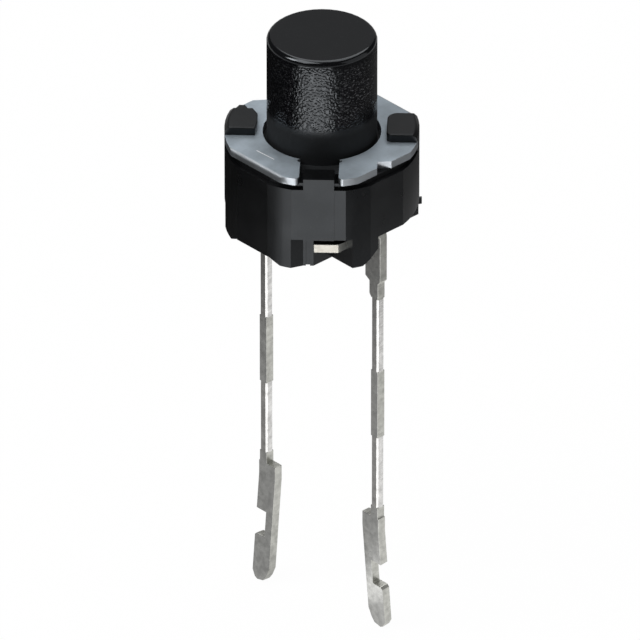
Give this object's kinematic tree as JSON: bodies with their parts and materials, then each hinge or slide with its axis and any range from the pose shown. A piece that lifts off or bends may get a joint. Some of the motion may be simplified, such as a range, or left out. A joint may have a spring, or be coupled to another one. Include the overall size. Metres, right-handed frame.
{
  "type": "push_button_switch",
  "caption": "Small square tactile push button switch with a tall round black button, a steel cover plate and two long hooked leads that hang straight down.",
  "frame": {"origin": "centre of the seating plane under the moulding, on the button's axis", "axes": "+Z is the way that the button points, +X goes from the axis to the centre terminal's lead, +Y to the right of it seen from above, so that the key is at the corner between +X and -Y"},
  "size_m": [0.006, 0.006, 0.021],
  "materials": {
    "black_moulding": "moulded black thermoplastic, matt, with cut and witness marks",
    "plate_steel": "rolled and punched steel strip, dull with fine scratches",
    "black_button": "moulded charcoal button, spark-eroded grain on its side",
    "spring_steel": "thin sprung strip, smooth",
    "plated_brass": "silver-plated stamped brass, bright on the coined edges and dull on cut faces"
  },
  "bodies": {
    "base": {"housing": "black_moulding", "cover_plate": "plate_steel", "snap_dome": "spring_steel", "centre_terminal": "plated_brass", "outer_terminal": "plated_brass"},
    "button": {"plunger": "black_button"}
  },
  "joints": [
    {"name": "press", "type": "slide", "parent": "base", "child": "button", "axis": [0, 0, -1], "range_m": [0, 0.00025], "stiffness_N_per_m": 6000, "springref_m": -0.00002, "deforming": ["snap_dome"]}
  ]
}
